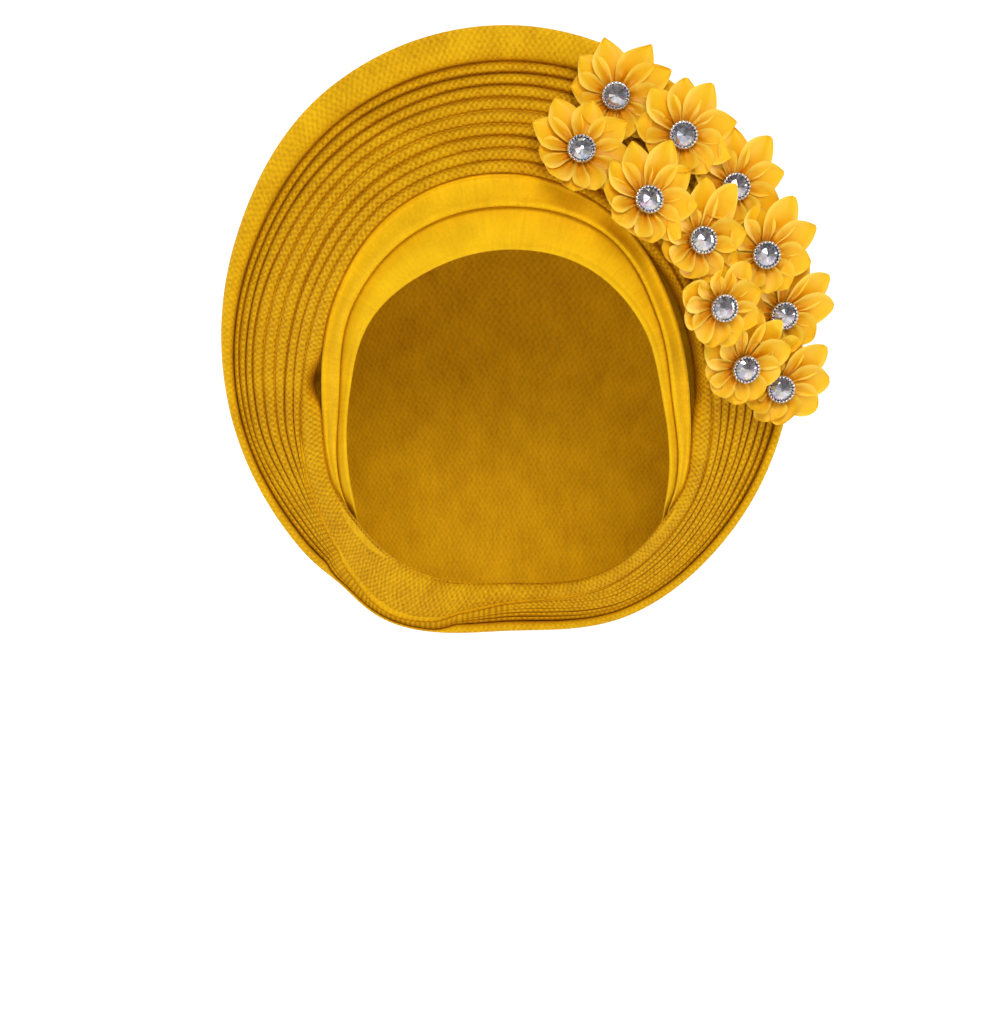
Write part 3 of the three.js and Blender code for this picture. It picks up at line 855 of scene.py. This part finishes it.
def cloth_material():
    """Stiff woven cloth: slanting flecks on the pleats, faint streaks where it is drawn smooth, and painted
    shade: the more weave a piece shows, the darker it is painted, so the pleats are darker than the smooth
    bands.
    """
    g = Graph("gele_cloth")
    coordinates = g.node("ShaderNodeUVMap", uv_map="weave").outputs[0]
    weave_and_painted_shade = g.node("ShaderNodeVertexColor", layer_name="weave_and_painted_shade").outputs[0]
    split = g.node("ShaderNodeSeparateXYZ", {0: coordinates})
    sway = g.math("MULTIPLY", g.math("SUBTRACT", g.noise(coordinates, 260.0), 0.5), 1.8 * MM)
    u = g.math("ADD", split.outputs[0], sway)
    v = g.math("ADD", split.outputs[1], sway)
    fleck_length, fleck_width = 2.5 * MM, 3.8 * MM
    flecks = g.math("MULTIPLY", g.wave(u, fleck_length), g.wave(v, fleck_width))
    fuzz = g.math("SUBTRACT", g.noise(coordinates, 800.0), 0.5)
    along = g.node("ShaderNodeMapping", {"Vector": coordinates, "Scale": (1.0, 0.1, 1.0)}).outputs[0]
    streaks = g.math("SUBTRACT", g.noise(along, 700.0), 0.5)
    blotches = g.math("SUBTRACT", g.noise(coordinates, 60.0), 0.5)
    weave = g.math("MULTIPLY_ADD", flecks, 0.2, g.math("MULTIPLY", fuzz, 0.5))
    height = g.math("MULTIPLY_ADD", weave, weave_and_painted_shade, g.math("MULTIPLY_ADD", streaks, 0.3, 0.5))
    height = g.math("MULTIPLY_ADD", fuzz, 0.2, height)
    factor = g.math("MULTIPLY_ADD", blotches, 0.5, height)
    # Painted shade: the tone is lowered where the weave level is high, so the pleats are painted darker and
    # the smooth bands lighter.
    factor = g.math("ADD", factor, g.math("MULTIPLY_ADD", weave_and_painted_shade, -0.38, 0.32))
    colour = g.ramp(factor, [(0.1, (0.4, 0.15, 0.0004)), (0.9, (0.93, 0.53, 0.005))])
    g.feed(g.shader.inputs["Base Color"], colour)
    g.feed(g.shader.inputs["Roughness"], g.math("MULTIPLY_ADD", height, -0.15, 0.85))
    g.shader.inputs["Specular IOR Level"].default_value = 0.09
    g.shader.inputs["Sheen Weight"].default_value = 0.04
    g.shader.inputs["Sheen Roughness"].default_value = 0.4
    g.shader.inputs["Sheen Tint"].default_value = (1.0, 0.7, 0.1, 1.0)
    g.feed(g.shader.inputs["Normal"], g.bump(height, 0.8, 0.35 * MM))
    return g.material


def ribbon_material():
    """Satin ribbon: painted shade, deep orange in the pinched folds at the petal base, and a painted
    highlight, paler towards the petal edges.
    """
    g = Graph("satin_ribbon")
    coordinates = g.node("ShaderNodeUVMap", uv_map="petal").outputs[0]
    split = g.node("ShaderNodeSeparateXYZ", {0: coordinates})
    along, across = split.outputs[0], split.outputs[1]
    edge = g.math("ABSOLUTE", g.math("SUBTRACT", across, 0.5))
    # Painted shade: dark deep orange at the petal base, lighter towards the tip.
    body = g.ramp(along, [
        (0.04, (0.5, 0.13, 0.0)),
        (0.2, (0.74, 0.28, 0.001)),
        (0.5, (0.89, 0.46, 0.005)),
        (0.95, (0.95, 0.58, 0.015)),
    ])
    # Painted highlight: the petal edges are painted paler, towards light yellow.
    rim = g.math("MULTIPLY", g.node("ShaderNodeMapRange", {0: edge, 1: 0.32, 2: 0.48}).outputs[0], 0.75)
    colour = g.mix(rim, body, (1.0, 0.7, 0.07, 1.0))
    g.feed(g.shader.inputs["Base Color"], colour)
    ribs = g.wave(along, 0.022)
    soft = g.noise(coordinates, 7.0)
    height = g.math("MULTIPLY_ADD", ribs, 0.08, soft)
    g.feed(g.shader.inputs["Roughness"], g.math("MULTIPLY_ADD", soft, 0.15, 0.36))
    g.shader.inputs["Specular IOR Level"].default_value = 0.28
    g.shader.inputs["Sheen Weight"].default_value = 0.05
    g.shader.inputs["Sheen Roughness"].default_value = 0.3
    g.shader.inputs["Sheen Tint"].default_value = (1.0, 0.75, 0.25, 1.0)
    g.feed(g.shader.inputs["Normal"], g.bump(height, 0.25, 0.4 * MM))
    return g.material


def setting_material():
    """Bright silver-coloured plating, dulled in random cloudy patches."""
    g = Graph("silver_plating")
    coordinates = g.node("ShaderNodeTexCoord").outputs["Object"]
    cloud = g.noise(coordinates, 900.0)
    colour = g.ramp(cloud, [(0.3, (0.38, 0.36, 0.37)), (0.7, (0.8, 0.78, 0.78))])
    g.feed(g.shader.inputs["Base Color"], colour)
    g.feed(g.shader.inputs["Roughness"], g.math("MULTIPLY_ADD", cloud, 0.2, 0.12))
    g.shader.inputs["Metallic"].default_value = 1.0
    return g.material


def stone_material():
    """A foil-backed stone under a clear coat: the facets carry painted light and painted glints, with
    noise-laid painted tints of pale blue and pink mixed in.
    """
    g = Graph("faceted_stone")
    painted_facet_light = g.node("ShaderNodeVertexColor", layer_name="painted_facet_light").outputs[0]
    coordinates = g.node("ShaderNodeTexCoord").outputs["Object"]
    glint = g.noise(coordinates, 260.0)
    # Painted glints: noise lays pale blue, white and pink over the stone's colours.
    painted_glint_colours = g.ramp(glint, [(0.35, (0.75, 0.8, 1.0)), (0.5, (1.0, 1.0, 1.0)), (0.65, (1.0, 0.8, 0.95))])
    g.feed(g.shader.inputs["Base Color"], g.mix(0.4, painted_facet_light, painted_glint_colours, "MULTIPLY"))
    g.feed(g.shader.inputs["Roughness"], g.math("MULTIPLY_ADD", glint, 0.08, 0.04))
    g.shader.inputs["Metallic"].default_value = 0.75
    g.shader.inputs["Coat Weight"].default_value = 0.3
    g.shader.inputs["Coat Roughness"].default_value = 0.03
    return g.material


def studio_material():
    g = Graph("pale_floor")
    coordinates = g.node("ShaderNodeTexCoord").outputs["Object"]
    cloud = g.noise(coordinates, 3.0)
    colour = g.ramp(cloud, [(0.3, (0.9, 0.9, 0.9)), (0.7, (0.93, 0.93, 0.93))])
    g.feed(g.shader.inputs["Base Color"], colour)
    g.shader.inputs["Roughness"].default_value = 0.9
    return g.material


# Camera, light and floor

def make_camera():
    distance, focus_y = 2.5, -0.07
    picture_rows, row_height = 1010, 0.39 * MM
    frame_height = picture_rows * row_height
    data = bpy.data.cameras.new("photo_camera")
    data.sensor_fit = "VERTICAL"
    data.sensor_height = 24.0
    data.lens = data.sensor_height * (distance + focus_y) / frame_height
    camera = bpy.data.objects.new("photo_camera", data)
    camera.location = (-0.0049, -distance, -0.138)
    camera.rotation_euler = (math.pi / 2, 0, 0)
    bpy.context.scene.collection.objects.link(camera)
    bpy.context.scene.camera = camera


def area_light(name, location, target, size, power):
    data = bpy.data.lights.new(name, "AREA")
    data.shape = "DISK"
    data.size = size
    data.energy = power
    light = bpy.data.objects.new(name, data)
    light.location = location
    light.rotation_euler = (Vector(target) - Vector(location)).to_track_quat("-Z", "Y").to_euler()
    bpy.context.scene.collection.objects.link(light)


def make_studio():
    centre = (0.0, 0.0, -0.08)
    area_light("key", (0.3, -2.05, 0.8), centre, 1.0, 23.5)
    area_light("fill", (-0.5, -2.4, 0.1), centre, 1.4, 8)
    area_light("top", (0.1, 0.2, 1.6), centre, 1.2, 9)
    for side in (-1, 1):
        area_light("backdrop", (1.7 * side, 0.5, 0.4), (0.2 * side, 2.2, -0.15), 1.4, 30)
    world = bpy.data.worlds.new("studio")
    world.use_nodes = True
    world.node_tree.nodes["Background"].inputs[0].default_value = (1, 1, 1, 1)
    world.node_tree.nodes["Background"].inputs[1].default_value = 0.28
    bpy.context.scene.world = world
    bpy.context.scene.view_settings.view_transform = "Standard"

    floor_z, back_y, bend = -0.5, 1.4, 0.8
    turn = np.radians(np.linspace(0, 90, 13))
    profile = [(-3.5, floor_z)]
    profile += [(back_y + bend * math.sin(t), floor_z + bend * (1 - math.cos(t))) for t in turn]
    profile.append((back_y + bend, 3.0))
    points = [(x, y, z) for y, z in profile for x in (-4.0, 4.0)]
    faces = [[2 * k, 2 * k + 1, 2 * k + 3, 2 * k + 2] for k in range(len(profile) - 1)]
    mesh = bpy.data.meshes.new("studio_floor")
    mesh.from_pydata(points, [], faces)
    mesh.materials.append(studio_material())
    mesh.polygons.foreach_set("use_smooth", np.ones(len(mesh.polygons), bool))
    floor = bpy.data.objects.new("studio_floor", mesh)
    bpy.context.scene.collection.objects.link(floor)


# Assembly

make_camera()
make_studio()

cloth = cloth_material()
fan = fan_piece(cloth)
fold = fold_band_piece(cloth)
brow = forehead_band_piece(cloth)
crown = crown_piece(cloth)

satin = ribbon_material()
plating = setting_material()
crystal = stone_material()
for number in range(len(FLOWERS)):
    flower = flower_piece(number, satin)
    setting_piece(number, plating)
    stone_piece(number, crystal)

bpy.context.view_layer.update()
